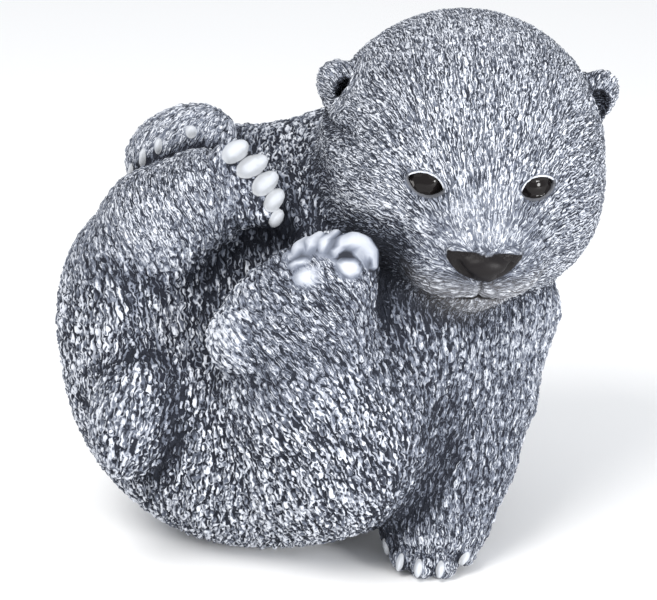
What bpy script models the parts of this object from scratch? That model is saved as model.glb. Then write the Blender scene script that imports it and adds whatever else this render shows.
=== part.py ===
"""Polar bear cub garden statue, cast in one piece: it lolls on its rump, hind feet in the air,
one front leg propping it up and the other laid over a hind foot."""

import math

import bmesh
import bpy
import numpy as np
import openvdb
from mathutils import Euler

# Driving sizes: the statue's height in metres, and how many triangles its skin is drawn with.
HEIGHT = 0.262
TRIANGLES = 9400

# The figure is drawn 262 units high, on a plane that leans back from the viewer: x to the right,
# y up that plane, z out of it. The drawing's centre is GROUND_DROP units above the ground.
DRAWN_HEIGHT = 262.0
UNIT = HEIGHT / DRAWN_HEIGHT
LEAN = math.radians(20.0)
GROUND_DROP = 118.0
CELL = 1.5
REACH = 9.0


def smooth_join(a, b, k):
    """The union of two distance fields, with a fillet about k wide where they meet."""
    h = np.maximum(k - np.abs(a - b), 0.0) / k
    return np.minimum(a, b) - h * h * k * 0.25


def smooth_cut(a, b, k):
    """Field a with b taken away, its edge eased over about k."""
    return -smooth_join(-a, b, k)


def turned(p, centre, turn):
    """Points seen from a centre whose axes are turned by three angles in degrees."""
    q = p - np.array(centre)
    if any(turn):
        q = q @ np.array(Euler([math.radians(a) for a in turn]).to_matrix())
    return q


def egg(p, centre, radii, turn=(0, 0, 0)):
    """Distance to an ellipsoid."""
    q = turned(p, centre, turn) / np.array(radii)
    k0 = np.linalg.norm(q, axis=1)
    k1 = np.linalg.norm(q / np.array(radii), axis=1)
    return k0 * (k0 - 1.0) / np.maximum(k1, 1e-9)


def limb(p, joints, k=6.0):
    """Distance to a limb: round cones through (x, y, z, radius) joints, eased into each other."""
    field = None
    for a, b in zip(joints[:-1], joints[1:]):
        start, end = np.array(a[:3]), np.array(b[:3])
        along = end - start
        share = np.clip((p - start) @ along / (along @ along), 0.0, 1.0)
        nearest = start + share[:, None] * along
        cone = np.linalg.norm(p - nearest, axis=1) - (a[3] + (b[3] - a[3]) * share)
        field = cone if field is None else smooth_join(field, cone, k)
    return field


def slab(p, a, b, c, thick):
    """Distance to a rounded triangular slab: the points within thick of the triangle abc."""
    a, b, c = (np.array(corner, float) for corner in (a, b, c))
    normal = np.cross(b - a, c - a)
    normal /= np.linalg.norm(normal)
    inside = np.ones(len(p), bool)
    edges = np.full(len(p), np.inf)
    for start, end in ((a, b), (b, c), (c, a)):
        along = end - start
        inside &= (p - start) @ np.cross(normal, along) >= 0.0
        share = np.clip((p - start) @ along / (along @ along), 0.0, 1.0)
        edges = np.minimum(edges, np.linalg.norm(p - start - share[:, None] * along, axis=1))
    return np.where(inside, np.abs((p - a) @ normal), edges) - thick


def distance_to_line(flat, line):
    """Distance from (x, y) points to a line through several corners."""
    away = np.full(len(flat), np.inf)
    corners = [np.array(corner, float) for corner in line]
    for start, end in zip(corners[:-1], corners[1:]):
        along = end - start
        share = np.clip((flat - start) @ along / (along @ along), 0.0, 1.0)
        away = np.minimum(away, np.linalg.norm(flat - start - share[:, None] * along, axis=1))
    return away


class Form:
    """A distance field at a set of points, built up mass by mass. Far points are left alone."""

    def __init__(self, points):
        self.points = points
        self.field = np.full(len(points), 1e3)

    def near(self, centre, radius):
        return np.linalg.norm(self.points - np.array(centre), axis=1) < radius + REACH

    def change(self, how, shape, k, centre, radius, args):
        where = self.near(centre, radius)
        values = shape(self.points[where], *args)
        self.field[where] = how(self.field[where], values, k)

    def add_egg(self, k, centre, radii, turn=(0, 0, 0)):
        self.change(smooth_join, egg, k, centre, max(radii) + k, (centre, radii, turn))

    def cut_egg(self, k, centre, radii, turn=(0, 0, 0)):
        self.change(smooth_cut, egg, k, centre, max(radii) + k, (centre, radii, turn))

    def middle(self, joints):
        points = np.array([joint[:3] for joint in joints], float)
        centre = points.mean(axis=0)
        return centre, np.linalg.norm(points - centre, axis=1).max()

    def add_limb(self, k, joints, blend=6.0):
        centre, radius = self.middle(joints)
        radius += max(joint[3] for joint in joints) + k
        self.change(smooth_join, limb, k, centre, radius, (joints, blend))

    def cut_limb(self, k, joints, blend=6.0):
        centre, radius = self.middle(joints)
        radius += max(joint[3] for joint in joints) + k
        self.change(smooth_cut, limb, k, centre, radius, (joints, blend))

    def add_slab(self, k, corners, thick):
        centre, radius = self.middle(corners)
        self.change(smooth_join, slab, k, centre, radius + thick + k, (*corners, thick))

    def groove(self, line, width, depth, above):
        """A groove (or, with a depth below nought, a ridge) under a line of (x, y), where z is above a height."""
        middle = np.array(line).mean(axis=0)
        reach = np.linalg.norm(np.array(line) - middle, axis=1).max() + 3.0 * width
        flat = self.points[:, :2]
        where = (np.linalg.norm(flat - middle, axis=1) < reach) & (self.points[:, 2] > above)
        away = distance_to_line(flat[where], line)
        self.field[where] += depth * np.exp(-((away / width) ** 2))


# The head has its own axes: x to the viewer's right, y up the face, z out along the muzzle.
HEAD_CENTRE = (65.5, 74.5, 12.0)
HEAD_TURN = (38.0, 5.8, -1.5)
SKULL = (70.5, 70.0, 67.0)
EYE_CENTRE = (22.8, 19.6, 57.0)
EYE_OUT = (0.38, 0.33, 0.86)
EYEBALL = 9.0
EYE_SLANT = 9.0
NOSE_CENTRE = (1.2, -1.0, 93.0)
EAR_CENTRE = (62.3, 26.0, -11.0)
EAR_SHIFT = 1.8


def head_form(p):
    """The cub's head: skull, cheeks, muzzle, chin, ears, eyes, nose and the line of the mouth."""
    head = Form(turned(p, HEAD_CENTRE, HEAD_TURN))
    head.add_egg(1.0, (0, 0, 0), SKULL)
    head.add_egg(20.0, (0, -13, 30), (63, 47, 46))
    head.add_limb(18.0, [(0, -4, 38, 38), (0, -8, 58, 29)])
    head.add_egg(12.0, (0, -9, 66), (31, 24, 25))
    for side in (-1, 1):
        head.add_egg(6.0, (side * 14, -16, 75), (17, 12, 13.5))
    head.add_limb(8.0, [(0, -22, 42, 31), (0, -25, 65, 19.5)])
    for side in (-1, 1):
        ear_form(head, side)
        eye_form(head, side)
    nose_form(head)
    mouth_form(head)
    return head.field


def ear_form(head, side):
    """A small round cupped ear."""
    x, y, z = EAR_CENTRE
    turn = (-8, side * 28, side * -30)
    head.add_egg(5.0, (EAR_SHIFT + side * x, y, z), (13.0, 15.5, 9.5), turn)
    head.cut_egg(2.5, (EAR_SHIFT + side * (x - 2.0), y - 3.0, z + 8.5), (8.0, 9.5, 9.5), turn)


def eye_form(head, side):
    """An eyeball behind an almond of lids, with a shallow hollow below its inner corner."""
    ball, lids, opening = (
        tuple(c + out * step for c, out in zip(EYE_CENTRE, EYE_OUT)) for step in (0.0, -1.0, 9.5))
    turn = (-20, side * 23, side * EYE_SLANT)
    head.groove([(side * 15, 15), (side * 21, 11)], 5.0, 1.0, 40)
    for shape, k, (x, y, z), radii in (
            (head.add_egg, 2.0, lids, (11.2, 8.2, 10.4)), (head.cut_egg, 0.8, opening, (8.8, 5.6, 9.0)),
            (head.add_egg, 0.5, ball, (EYEBALL,) * 3)):
        shape(k, (side * x, y, z), radii, turn)


def nose_form(head):
    """A broad nose pad, wide at the top and narrow below, with comma-shaped nostrils."""
    x, y, z = NOSE_CENTRE
    corners = [(x - 15.5, y + 2.0, z - 4.0), (x + 15.5, y + 2.0, z - 4.0), (x + 0.8, y - 7.5, z - 0.5)]
    head.add_slab(1.0, corners, 3.2)
    head.add_egg(3.0, (x, y - 1.5, z - 0.5), (10.0, 6.0, 5.0))
    for side in (-1, 1):
        comma = [(x + side * 5.0, y - 3.5), (x + side * 9.5, y - 1.5), (x + side * 13.0, y + 2.5)]
        head.groove(comma, 1.4, 2.0, 60)


def mouth_form(head):
    """The line of the lips, and the groove that joins it to the nose."""
    x = NOSE_CENTRE[0]
    lips = [(x + u, v) for u, v in ((-24, -29), (-16, -29), (-8, -27), (0, -24), (8, -27), (16, -29), (24, -29))]
    head.groove(lips, 1.5, 1.6, 50)
    head.groove([(x, -10), (x, -24)], 1.4, 1.2, 50)


def body_form(p):
    """The curled body, the four limbs and the tail."""
    body = Form(p)
    body.add_egg(1.0, (-38.5, -26.5, -6), (94, 98, 72), (0, 0, 30))
    body.add_egg(20.0, (-4, -54, 8), (60, 60, 58))
    body.add_egg(24.0, (32, 24, -24), (66, 74, 60))
    body.add_egg(16.0, (44, -18, 2), (46, 58, 44))
    body.add_egg(18.0, (-84, 4, -4), (47, 49, 46))
    body.add_egg(20.0, (-14, -62, -38), (68, 46, 48))
    body.cut_egg(24.0, (-46, 14, 76), (38, 66, 40), (0, 0, -34))
    planted_leg(body)
    far_leg(body)
    resting_leg(body)
    body.cut_limb(7.0, [(-62, -20, 66, 5), (-70, -52, 64, 6), (-80, -84, 50, 4)])
    raised_leg(body)
    body.add_egg(4.0, (-94, -54, 44), (20.5, 32, 20), (0, 0, -10))
    return body.field


def planted_leg(body):
    """The front leg that props the cub up."""
    body.add_limb(12.0, [(80, -6, -2, 36), (77.5, -46, 8, 24), (69, -76, 12, 22.5), (60.5, -96, 14, 24)], 10.0)
    body.add_egg(8.0, (52, -113, 12), (26, 19, 25))
    for x, y, z in ((33, -118, 18), (37, -125.5, 24), (46, -129, 28), (56, -129, 28), (66, -123, 23)):
        body.add_limb(2.0, [(52 + (x - 52) * 0.55, -112, 14, 8.5), (x, y, z, 7.0)])
    for x, y, z in ((28.5, -121, 21), (34.5, -127.5, 29.5), (43.5, -130.5, 34), (54, -131, 34), (66, -126, 29)):
        body.add_egg(1.0, (x, y, z), (2.0, 4.4, 2.4), (0, 0, (52 - x) * -0.8))


def raised_leg(body):
    """The near hind leg: a broad thigh, and a foot turned up with its sole to the viewer."""
    body.add_limb(14.0, [(2, -66, 30, 46), (-10, -46, 46, 38), (-16, -26, 54, 30)], 12.0)
    body.add_egg(8.0, (-16, -2, 64), (44, 25, 18), (0, 0, 35))
    body.add_egg(8.0, (2, -12, 60), (20, 42, 21), (0, 0, 0))
    body.add_egg(6.0, (0, 12, 68), (22, 13, 13))
    body.add_egg(5.0, (-43, -18, 70), (14, 16, 14))
    toes = ((-17.5, 18.5, 4.6), (-12, 23.5, 5.2), (-5, 26, 5.6), (2.5, 26, 6.0), (13, 22, 8.6))
    for x, y, r in toes:
        body.add_limb(1.5, [(x * 0.85, y - 12, 72, r + 1), (x, y, 76, r)])
    for centre, radii in (((9.5, 14.5, 81), (6.5, 6.0, 4.0)), ((-10.5, 11, 80), (7.5, 5.5, 4.0))):
        body.add_egg(1.5, centre, radii)


def far_leg(body):
    """The far hind leg, its foot held by the front paw."""
    body.add_limb(8.0, [(-100, 18, 20, 25), (-82, 36, 30, 27), (-62, 48, 38, 25)], 10.0)
    toes = (((-54, 61), (-47, 72)), ((-50, 57), (-39, 65)), ((-46, 52), (-33, 57)), ((-44, 46), (-30, 49)),
            ((-44, 42), (-30, 41)))
    for base, tip in toes:
        body.add_limb(1.5, [(*base, 48, 9.0), (*tip, 51, 6.0)])


def resting_leg(body):
    """The other front leg, laid along the chest with its paw over the far hind foot."""
    body.add_limb(10.0, [(-2, 61, -30, 38), (-40, 62, -22, 25), (-66, 72, -4, 19)], 10.0)
    body.add_egg(4.0, (-73, 75, 8), (29, 21, 20), (0, 0, 24))
    for x, y, z in ((-67, 82.5, 26.5), (-83, 75, 26.5), (-91, 70, 23), (-97.5, 64.5, 15.5)):
        body.add_egg(1.0, (x, y, z), (2.4, 4.2, 2.2), (0, 0, -10))


def statue_form(p):
    """The whole statue at points of the drawing, flat on the ground."""
    field = smooth_join(body_form(p), head_form(p), 9.0)
    ground = GROUND_DROP + p[:, 1] * math.cos(LEAN) + p[:, 2] * math.sin(LEAN)
    return smooth_cut(field, ground, 1.0)


def skin(cell):
    """The statue's surface as points of the drawing and four-sided faces, one for each cell it crosses."""
    low, high = np.array((-145.0, -150.0, -95.0)), np.array((150.0, 160.0, 125.0))
    coarse = 4 * cell
    steps = np.ceil((high - low) / coarse).astype(int) + 1
    rough = statue_form(grid_points(low, steps, coarse)).reshape(steps)
    crossed = np.abs(rough) < coarse
    for axis in range(3):
        ahead, behind = (np.take(crossed, range(i, steps[axis] - 1 + i), axis) for i in (1, 0))
        crossed = ahead | behind
    blocks = [np.minimum(np.arange(4 * n - 3) // 4, n - 2) for n in steps]
    band = crossed[np.ix_(*blocks)]
    field = rough[np.ix_(*blocks)]
    field[band] = statue_form(low + np.argwhere(band) * cell)
    grid = openvdb.FloatGrid(1e3)
    grid.copyFromArray(field.astype(np.float32))
    points, quads = grid.convertToQuads(0.0)
    return low + points * cell, quads


def grid_points(low, steps, spacing):
    axes = [low[i] + np.arange(steps[i]) * spacing for i in range(3)]
    return np.stack(np.meshgrid(*axes, indexing="ij"), -1).reshape(-1, 3)


def stood_up(points):
    """Points of the drawing as metres: X right, Y back, Z up."""
    x, y, z = points.T
    back = y * math.sin(LEAN) - z * math.cos(LEAN)
    up = GROUND_DROP + y * math.cos(LEAN) + z * math.sin(LEAN)
    return np.stack([x, back, up], 1) * UNIT


def stone():
    material = bpy.data.materials.new("antiqued_stone")
    material.use_nodes = True
    shader = material.node_tree.nodes["Principled BSDF"]
    shader.inputs["Base Color"].default_value = (0.27, 0.29, 0.33, 1.0)
    shader.inputs["Roughness"].default_value = 0.85
    return material


def build():
    for old in list(bpy.data.objects):
        bpy.data.objects.remove(old)
    points, quads = skin(CELL)
    points = stood_up(points)
    low, high = points.min(0), points.max(0)
    shift = ((low[0] + high[0]) / 2, (low[1] + high[1]) / 2, low[2])
    points -= shift
    mesh = bpy.data.meshes.new("polar_bear_cub")
    mesh.from_pydata(points.tolist(), [], quads.tolist())
    mesh.validate()
    tidy = bmesh.new()
    tidy.from_mesh(mesh)
    bmesh.ops.recalc_face_normals(tidy, faces=tidy.faces)
    tidy.to_mesh(mesh)
    faces = 2 * len(tidy.faces)
    tidy.free()
    statue = bpy.data.objects.new("polar_bear_cub", mesh)
    statue["shift"] = [float(x) for x in shift]
    bpy.context.scene.collection.objects.link(statue)
    mesh.materials.append(stone())
    mesh.shade_smooth()
    thin = statue.modifiers.new("thin", "DECIMATE")
    thin.ratio = TRIANGLES / faces
    thin.use_collapse_triangulate = True


build()
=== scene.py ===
"""A cast-stone polar bear cub, carved and painted, on a pale floor. The solid's form is drawn again at a
finer grain, its coat is carved into the surface tuft by tuft, and the paint follows the carving."""

import math

import bmesh
import bpy
import numpy as np
import openvdb
from mathutils import Euler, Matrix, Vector


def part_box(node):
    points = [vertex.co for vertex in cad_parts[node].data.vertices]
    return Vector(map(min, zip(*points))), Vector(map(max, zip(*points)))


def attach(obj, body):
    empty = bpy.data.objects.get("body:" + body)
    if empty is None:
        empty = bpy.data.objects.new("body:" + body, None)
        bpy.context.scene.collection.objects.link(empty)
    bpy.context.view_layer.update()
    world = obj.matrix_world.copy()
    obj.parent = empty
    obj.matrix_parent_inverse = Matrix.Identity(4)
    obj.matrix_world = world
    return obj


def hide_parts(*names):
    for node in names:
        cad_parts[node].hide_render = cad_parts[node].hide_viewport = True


# The figure is drawn 262 units high, on a plane that leans back from the viewer: x to the right,
# y up that plane, z out of it. Its centre is GROUND_DROP units above the ground, and STAND turns it upright.
HEIGHT = 0.262
DRAWN_HEIGHT = 262.0
UNIT = HEIGHT / DRAWN_HEIGHT
LEAN = math.radians(20.0)
STAND = math.radians(90.0) - LEAN
GROUND_DROP = 118.0

# The side of the grid's cells, how far past its own edge a mass is still worked out, and the mesh's size.
CELL = 0.65
REACH = 9.0
TRIANGLES = 196000

# The head has its own axes: x to the viewer's right, y up the face, z out along the muzzle.
HEAD_CENTRE = (65.5, 74.5, 12.0)
HEAD_TURN = (38.0, 5.8, -1.5)
SKULL = (70.5, 70.0, 67.0)
EYE_CENTRE = (24.8, 19.6, 56.2)
EYEBALL = 9.0
EYE_SLANT = 9.0
LIDS = (11.8, 9.2, 10.3)
EAR_CENTRE = (62.3, 26.0, -11.0)
EAR_SHIFT = 1.8
EAR_HOLLOWS = ((-55.0, 27.0, -2.0), (62.0, 24.5, -2.0))
MUZZLE_TIP = 85.0

# The opening between the lids: its half length, its half height, and how full its arches are.
ALMOND = (8.9, 5.1)
LID_ARCH = 1.4

# The nose pad's outline: its half width, the height of its upper edge, how much higher the corners are, the
# tilt of that edge, the height of its foot, how far the sides climb and how squarely, and where it starts.
NOSE_CENTRE = (1.2, -1.0, 93.0)
NOSE_HALF = 18.0
NOSE_TOP = 3.7
NOSE_SAG = -1.0
NOSE_TILT = -0.03
NOSE_LOW = -10.0
NOSE_RISE = 9.2
NOSE_SQUARE = 2.9
NOSE_FRONT = 80.0

# The line of the lips: its half width, its height below the nose, and how far and how its ends go down.
MOUTH_HALF = 17.0
MOUTH_LEVEL = -24.2
MOUTH_DROP = 4.6
MOUTH_BEND = 0.8

# Claws and pads: the centre, the three radii, and the turn about z in degrees.
PLANTED_CLAWS = (
    ((28.3, -121, 21), (1.5, 4.2, 2.4), 12), ((34.7, -127.8, 29.5), (1.7, 4.5, 2.5), -14),
    ((43.4, -130.3, 34), (1.9, 4.4, 2.5), -8), ((54, -130.8, 34), (1.8, 4.2, 2.5), -10),
    ((66, -126, 29), (1.8, 3.8, 2.5), -32),
)
RESTING_CLAWS = (
    ((-67, 82, 26.5), (2.6, 3.1, 2.3), 0), ((-83, 75.1, 26.5), (1.8, 3.6, 2.3), -4),
    ((-91, 69.5, 23), (1.8, 4.5, 2.3), -6), ((-97.5, 63, 16), (1.6, 4.8, 2.3), -12),
)
NEAR_PADS = (
    ((9.0, 15.0, 79.5), (6.2, 5.3, 4.2), 0), ((-9.4, 10.4, 79.0), (7.4, 5.0, 3.8), 12),
    ((-13.2, 17.0, 77.5), (6.0, 2.6, 3.2), 20),
)
FAR_PADS = (
    ((-44.0, 70.8, 54.5), (7.0, 4.5, 4.2), 36), ((-36.0, 63.8, 54.5), (8.0, 4.6, 4.2), 28),
    ((-29.8, 55.6, 54.5), (7.2, 4.6, 4.2), 42), ((-25.6, 47.6, 54.0), (6.2, 4.0, 4.0), 55),
    ((-24.6, 38.8, 53.5), (4.8, 3.0, 3.6), 60),
)

# Toes: the planted foot's tips, (x, y, radius) of the near foot's, and base and tip of the far foot's.
PLANTED_TOES = ((33, -118, 18), (37, -125.5, 24), (46, -129, 28), (56, -129, 28), (66, -123, 23))
NEAR_TOES = ((-17.5, 18.5, 4.4), (-12, 23.5, 4.8), (-5, 26, 5.2), (2.5, 26, 5.6), (13, 22, 8.0))
FAR_TOES = (
    ((-54, 61), (-47, 72)), ((-50, 57), (-39, 65)), ((-46, 52), (-33, 57)), ((-44, 46), (-29, 49)),
    ((-44, 42), (-28, 41)),
)

# The folds of skin over the near foot's toes, from the big toe outwards, as (x, y, z, radius).
TOE_FOLDS = (
    ((3.2, 18.0, 76.5, 3.4), (4.4, 22.4, 76.5, 3.9), (7.6, 25.6, 76.5, 4.3), (12.0, 26.6, 76.5, 4.5),
     (16.2, 25.2, 76.0, 4.3), (19.2, 21.6, 75.5, 3.9), (20.2, 16.8, 75.0, 3.4)),
    ((-4.0, 17.5, 76.5, 2.8), (-1.8, 25.4, 76.0, 3.5), (3.6, 29.6, 74.0, 3.4)),
    ((-10.6, 20.0, 76.0, 2.6), (-7.8, 25.4, 75.5, 3.2), (-3.8, 29.0, 73.5, 3.2)),
    ((-16.6, 19.0, 75.0, 2.4), (-13.4, 23.8, 74.5, 3.0), (-10.0, 26.8, 73.0, 3.0)),
    ((-20.4, 15.5, 73.5, 2.2), (-18.0, 20.2, 73.0, 2.8)),
)

# The carving: the tufts' length and width, how deep they are cut, and the share of that below plain stone.
FINE_TUFT = (7.5, 2.4)
FINE_DEPTH = 1.0
BROAD_TUFT = (9.5, 3.9)
BROAD_DEPTH = 2.9
LEVEL = 0.45
SEED = 7


def smooth_join(a, b, k):
    """The union of two distance fields, with a fillet about k wide where they meet."""
    h = np.maximum(k - np.abs(a - b), 0.0) / k
    return np.minimum(a, b) - h * h * k * 0.25


def smooth_cut(a, b, k):
    """Field a with b taken away, its edge eased over about k."""
    return -smooth_join(-a, b, k)


def angles(turn):
    """A turn by three angles in degrees."""
    return Euler([math.radians(angle) for angle in turn])


def turned(p, centre, turn):
    """Points seen from a centre whose axes are turned by three angles in degrees."""
    q = p - np.array(centre)
    if any(turn):
        q = q @ np.array(angles(turn).to_matrix())
    return q


def egg(p, centre, radii, turn=(0, 0, 0)):
    """Distance to an ellipsoid."""
    q = turned(p, centre, turn) / np.array(radii)
    k0 = np.linalg.norm(q, axis=1)
    k1 = np.linalg.norm(q / np.array(radii), axis=1)
    return k0 * (k0 - 1.0) / np.maximum(k1, 1e-9)


def limb(p, joints, k=6.0):
    """Distance to a limb: round cones through (x, y, z, radius) joints, eased into each other."""
    field = None
    for a, b in zip(joints[:-1], joints[1:]):
        start, end = np.array(a[:3]), np.array(b[:3])
        along = end - start
        share = np.clip((p - start) @ along / (along @ along), 0.0, 1.0)
        nearest = start + share[:, None] * along
        cone = np.linalg.norm(p - nearest, axis=1) - (a[3] + (b[3] - a[3]) * share)
        field = cone if field is None else smooth_join(field, cone, k)
    return field


def slab(p, a, b, c, thick):
    """Distance to a rounded triangular slab: the points within thick of the triangle abc."""
    a, b, c = (np.array(corner, float) for corner in (a, b, c))
    normal = np.cross(b - a, c - a)
    normal /= np.linalg.norm(normal)
    inside = np.ones(len(p), bool)
    edges = np.full(len(p), np.inf)
    for start, end in ((a, b), (b, c), (c, a)):
        along = end - start
        inside &= (p - start) @ np.cross(normal, along) >= 0.0
        share = np.clip((p - start) @ along / (along @ along), 0.0, 1.0)
        edges = np.minimum(edges, np.linalg.norm(p - start - share[:, None] * along, axis=1))
    return np.where(inside, np.abs((p - a) @ normal), edges) - thick


def distance_to_line(flat, line):
    """Distance from (x, y) points to a line through several corners."""
    away = np.full(len(flat), np.inf)
    corners = [np.array(corner, float) for corner in line]
    for start, end in zip(corners[:-1], corners[1:]):
        along = end - start
        share = np.clip((flat - start) @ along / (along @ along), 0.0, 1.0)
        away = np.minimum(away, np.linalg.norm(flat - start - share[:, None] * along, axis=1))
    return away


class Form:
    """A distance field at a set of points, built up mass by mass. Far points are left alone."""

    def __init__(self, points):
        self.points = points
        self.field = np.full(len(points), 1e3)
        low, high = points.min(axis=0), points.max(axis=0)
        self.centre = (low + high) / 2
        self.extent = np.linalg.norm(high - low) / 2

    def change(self, how, shape, k, centre, radius, args):
        """Joins or cuts a shape that lies within a radius of a centre."""
        if np.linalg.norm(self.centre - np.array(centre)) > radius + REACH + self.extent:
            return
        where = np.linalg.norm(self.points - np.array(centre), axis=1) < radius + REACH
        values = shape(self.points[where], *args)
        self.field[where] = how(self.field[where], values, k)

    def add_egg(self, k, centre, radii, turn=(0, 0, 0)):
        self.change(smooth_join, egg, k, centre, max(radii) + k, (centre, radii, turn))

    def cut_egg(self, k, centre, radii, turn=(0, 0, 0)):
        self.change(smooth_cut, egg, k, centre, max(radii) + k, (centre, radii, turn))

    def middle(self, joints):
        """The middle of several joints, and how far the farthest is from it."""
        points = np.array([joint[:3] for joint in joints], float)
        centre = points.mean(axis=0)
        return centre, np.linalg.norm(points - centre, axis=1).max()

    def change_limb(self, how, k, joints, blend):
        centre, radius = self.middle(joints)
        radius += max(joint[3] for joint in joints) + k
        self.change(how, limb, k, centre, radius, (joints, blend))

    def add_limb(self, k, joints, blend=6.0):
        self.change_limb(smooth_join, k, joints, blend)

    def cut_limb(self, k, joints, blend=6.0):
        self.change_limb(smooth_cut, k, joints, blend)

    def add_slab(self, k, corners, thick):
        centre, radius = self.middle(corners)
        self.change(smooth_join, slab, k, centre, radius + thick + k, (*corners, thick))

    def groove(self, line, width, depth, above):
        """A groove under a line of (x, y), where z is above a height. A depth below nought makes a ridge."""
        middle = np.array(line).mean(axis=0)
        reach = np.linalg.norm(np.array(line) - middle, axis=1).max() + 3.0 * width
        flat = self.points[:, :2]
        where = (np.linalg.norm(flat - middle, axis=1) < reach) & (self.points[:, 2] > above)
        away = distance_to_line(flat[where], line)
        self.field[where] += depth * np.exp(-((away / width) ** 2))


def head_form(p):
    """The cub's head: skull, cheeks, muzzle, chin, ears, eyes, nose and the line of the mouth."""
    head = Form(turned(p, HEAD_CENTRE, HEAD_TURN))
    head.add_egg(1.0, (0, 0, 0), SKULL)
    head.add_egg(20.0, (0, -13, 30), (63, 47, 46))
    head.add_limb(18.0, [(0, -4, 38, 38), (0, -8, 58, 29)])
    head.add_egg(12.0, (0, -9, 66), (31, 24, 25))
    for side in (-1, 1):
        head.add_egg(6.0, (side * 14, -16, 75), (17, 12, 13.5))
    head.add_limb(8.0, [(0, -22, 42, 31), (0, -25, 65, 19.5)])
    for side in (-1, 1):
        ear_form(head, side)
        eye_form(head, side)
    nose_form(head)
    mouth_form(head)
    return head.field


def ear_form(head, side):
    """A small round cupped ear."""
    x, y, z = EAR_CENTRE
    turn = (-8, side * 28, side * -30)
    head.add_egg(5.0, (EAR_SHIFT + side * x, y, z), (13.0, 15.5, 9.5), turn)
    head.cut_egg(3.0, EAR_HOLLOWS[side > 0], (8.8, 10.5, 7.5), turn)
    if side < 0:
        head.groove([(-59, 24), (-67, 14)], 2.5, 2.6, -20)


def eye_form(head, side):
    """An eyeball behind lids with an almond opening, and a shallow hollow below its inner corner."""
    x, y, z = EYE_CENTRE
    centre = (side * x, y, z)
    head.groove([(side * 15, 15), (side * 21, 11)], 5.0, 1.0, 40)
    head.add_egg(3.0, centre, LIDS, eye_turn(side))
    head.change(smooth_cut, almond, 0.5, centre, 14.0, (centre, eye_turn(side)))
    head.add_egg(0.3, centre, (EYEBALL,) * 3)


def eye_turn(side):
    """The way an eye looks, as three angles in degrees."""
    return (-20, side * 17, side * EYE_SLANT)


def almond(p, centre, turn):
    """Distance to the opening between the lids: an almond, run out along the way the eye looks."""
    along, across, out = turned(p, centre, turn).T
    shape = (along / ALMOND[0]) ** 2 + (np.abs(across) / ALMOND[1]) ** LID_ARCH
    return np.maximum((np.sqrt(shape) - 1.0) * ALMOND[1], -out)


def nose_form(head):
    """A broad nose pad, wide at the top and narrow below, with comma-shaped nostrils."""
    x, y, z = NOSE_CENTRE
    corners = [(x - 15.0, y + 2.0, z - 6.5), (x + 15.0, y + 2.0, z - 6.5), (x + 0.8, y - 7.5, z - 0.5)]
    head.add_slab(2.0, corners, 3.2)
    head.add_egg(3.0, (x, y - 1.5, z - 0.5), (10.0, 6.0, 5.0))
    for side in (-1, 1):
        comma = [(x + side * 6.0, y - 4.5), (x + side * 9.5, y - 3.5), (x + side * 12.5, y - 0.5)]
        head.groove(comma, 1.2, 1.6, 60)


def mouth_form(head):
    """The line of the lips, and the groove that joins it to the nose."""
    x = NOSE_CENTRE[0]
    lips = [(-24, -29), (-16, -29), (-8, -27), (0, -24), (8, -27), (16, -29), (24, -29)]
    head.groove([(x + u, v) for u, v in lips], 1.5, 1.6, 50)
    head.groove([(x, -10), (x, -24)], 1.4, 1.2, 50)


def body_form(p):
    """The curled body, the four limbs and the tail."""
    body = Form(p)
    body.add_egg(1.0, (-38.5, -26.5, -6), (94, 98, 72), (0, 0, 30))
    body.add_egg(20.0, (-4, -54, 8), (60, 60, 58))
    body.add_egg(24.0, (32, 24, -24), (66, 74, 60))
    body.add_egg(16.0, (44, -18, 2), (46, 58, 44))
    body.add_egg(18.0, (-84, 4, -4), (47, 49, 46))
    body.add_egg(20.0, (-14, -62, -38), (68, 46, 48))
    body.cut_egg(24.0, (-46, 14, 76), (38, 66, 40), (0, 0, -34))
    planted_leg(body)
    far_leg(body)
    resting_leg(body)
    body.cut_limb(7.0, [(-62, -20, 66, 5), (-70, -52, 64, 6), (-80, -84, 50, 4)])
    raised_leg(body)
    body.add_egg(4.0, (-94, -54, 44), (20.5, 32, 20), (0, 0, -10))
    return body.field


def planted_leg(body):
    """The front leg that props the cub up."""
    leg = [(80, -6, -2, 36), (77.5, -46, 8, 24), (69, -76, 12, 22.5), (60.5, -96, 14, 24)]
    body.add_limb(12.0, leg, 10.0)
    body.add_egg(8.0, (52, -113, 12), (26, 19, 25))
    for x, y, z in PLANTED_TOES:
        body.add_limb(2.0, [(52 + (x - 52) * 0.55, -112, 14, 8.5), (x, y, z, 7.0)])
    for centre, radii, turn in PLANTED_CLAWS:
        body.add_egg(0.6, centre, radii, (0, 0, turn))


def raised_leg(body):
    """The near hind leg: a broad thigh, and a foot turned up with its sole to the viewer."""
    body.add_limb(14.0, [(2, -66, 30, 46), (-10, -46, 46, 38), (-16, -26, 54, 30)], 12.0)
    body.add_egg(8.0, (-16, -2, 64), (44, 25, 18), (0, 0, 35))
    body.add_egg(8.0, (2, -12, 60), (20, 42, 21))
    body.add_egg(6.0, (0, 12, 68), (22, 13, 13))
    body.add_egg(5.0, (-43, -18, 70), (14, 16, 14))
    for x, y, r in NEAR_TOES:
        body.add_limb(1.5, [(x * 0.85, y - 12, 70, r + 1), (x, y, 73, r)])
    for fold in TOE_FOLDS:
        body.add_limb(0.6, fold, 3.0)
    for centre, radii, turn in NEAR_PADS:
        body.add_egg(0.6, centre, radii, (0, 0, turn))


def far_leg(body):
    """The far hind leg, its foot held by the front paw."""
    body.add_limb(8.0, [(-100, 18, 20, 25), (-82, 36, 30, 27), (-62, 48, 38, 25)], 10.0)
    for base, tip in FAR_TOES:
        body.add_limb(1.5, [(*base, 48, 8.5), (*tip, 50, 5.5)])
    for centre, radii, turn in FAR_PADS:
        body.add_egg(0.5, centre, radii, (0, 0, turn))


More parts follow.
